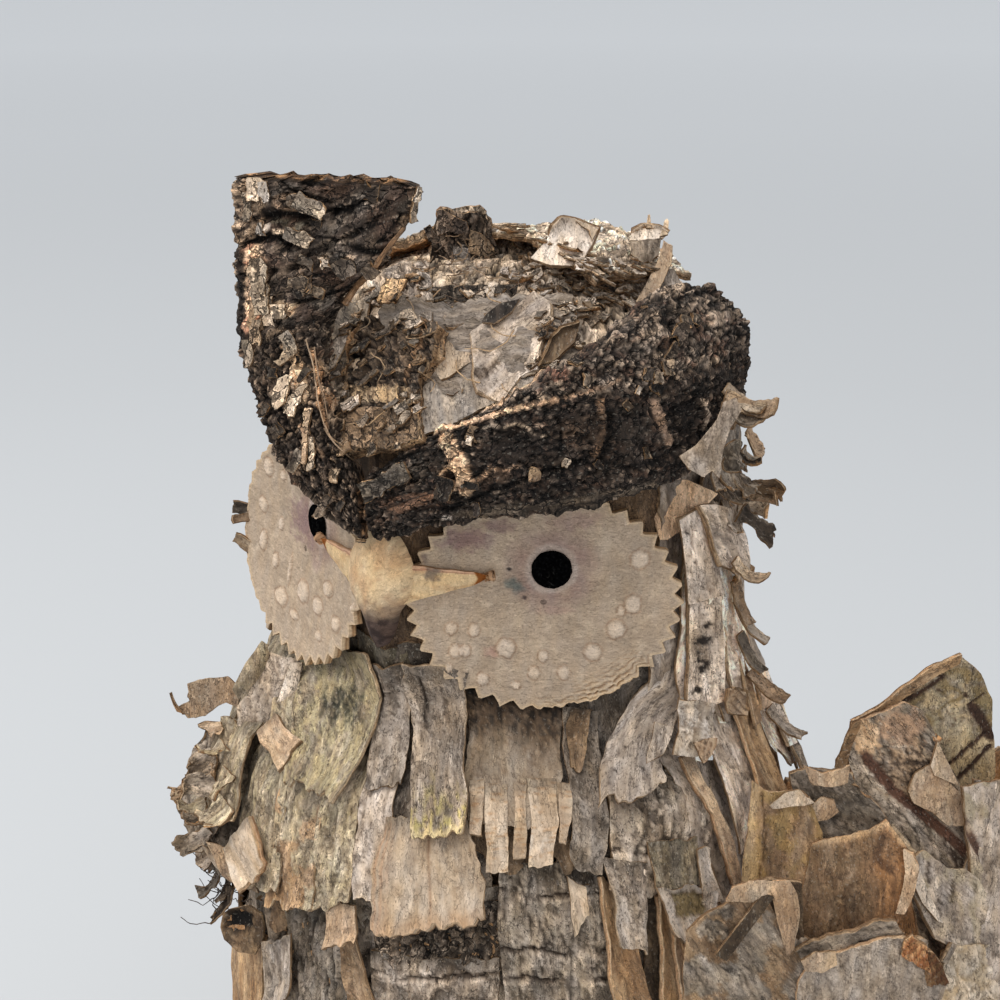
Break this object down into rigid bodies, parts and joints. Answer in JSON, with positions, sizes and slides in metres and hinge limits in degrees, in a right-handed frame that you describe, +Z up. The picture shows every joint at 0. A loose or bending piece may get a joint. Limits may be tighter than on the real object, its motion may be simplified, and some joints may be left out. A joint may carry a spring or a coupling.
{
  "type": "birch bark owl figurine",
  "caption": "Standing horned owl figurine clad in overlapping birch bark strips, with serrated face discs, rough bark brows, a half-raised wing and a log-slice base.",
  "frame": {"origin": "centre of the flat underside of the round base", "axes": "+Z up, -Y the way the owl faces, +X towards the owl's own left side"},
  "size_m": [0.2676, 0.2136, 0.3962],
  "materials": {
    "bark_core": "rough, dark, mostly hidden",
    "base_wood": "sawn, matte",
    "face_disc_bark": "smooth outer bark, matte, small raised dots",
    "pupil_black": "dried black glue, half gloss",
    "beak_cream": "smooth, satin, dark brown tip",
    "rough_bark": "thick, deeply fissured, matte",
    "crown_bark": "flaky, matte",
    "inner_bark": "pale inner bark, matte",
    "tan_bark": "inner side of bark sheets, matte",
    "pale_bark": "papery outer bark, matte",
    "grey_bark": "weathered outer bark, matte",
    "olive_bark": "bark with a lichen tint, matte"
  },
  "bodies": {
    "root": {"bark_clad_body": "bark_core", "log_slice_base": "base_wood", "left_face_disc": "face_disc_bark", "right_face_disc": "face_disc_bark", "left_pupil": "pupil_black", "right_pupil": "pupil_black", "beak": "beak_cream", "left_brow_slab": "rough_bark", "right_brow_slab": "rough_bark", "forehead_sheet": "pale_bark", "crown_patch": "crown_bark", "crown_tuft": "rough_bark", "crown_back_patch": "crown_bark", "neck_strip_1": "pale_bark", "neck_strip_2": "pale_bark", "neck_strip_3": "grey_bark", "neck_strip_4": "pale_bark", "neck_strip_5": "grey_bark", "neck_strip_6": "pale_bark", "neck_strip_7": "grey_bark", "neck_strip_8": "pale_bark", "neck_strip_9": "pale_bark", "mantle_strip_1": "olive_bark", "mantle_strip_2": "olive_bark", "mantle_strip_3": "olive_bark", "mantle_strip_4": "olive_bark", "mantle_strip_5": "grey_bark", "breast_fringe": "inner_bark", "mantle_strip_7": "grey_bark", "mantle_strip_8": "pale_bark", "mantle_strip_9": "pale_bark", "mantle_strip_10": "grey_bark", "mantle_strip_11": "pale_bark", "mantle_strip_12": "grey_bark", "mantle_strip_13": "pale_bark", "mantle_strip_14": "grey_bark", "mantle_strip_15": "pale_bark", "mantle_strip_16": "olive_bark", "left_wing_rear_panel": "olive_bark", "left_wing_front_panel": "tan_bark", "left_wing_shoulder_sheet": "tan_bark", "left_wing_lower_sheet": "grey_bark", "left_wing_outer_sheet": "pale_bark", "left_wing_back_sheet": "grey_bark", "right_wing_folded": "tan_bark", "flank_plate_1": "grey_bark", "flank_plate_2": "pale_bark", "flank_plate_3": "grey_bark", "flank_plate_4": "grey_bark", "flank_plate_5": "pale_bark", "flank_plate_6": "grey_bark", "flank_plate_7": "pale_bark", "skirt_plate_1": "pale_bark", "skirt_plate_2": "grey_bark", "skirt_plate_3": "pale_bark", "skirt_plate_4": "grey_bark", "skirt_plate_5": "pale_bark", "skirt_plate_6": "grey_bark", "skirt_plate_7": "pale_bark", "tail_sheet": "olive_bark"}
  },
  "joints": []
}
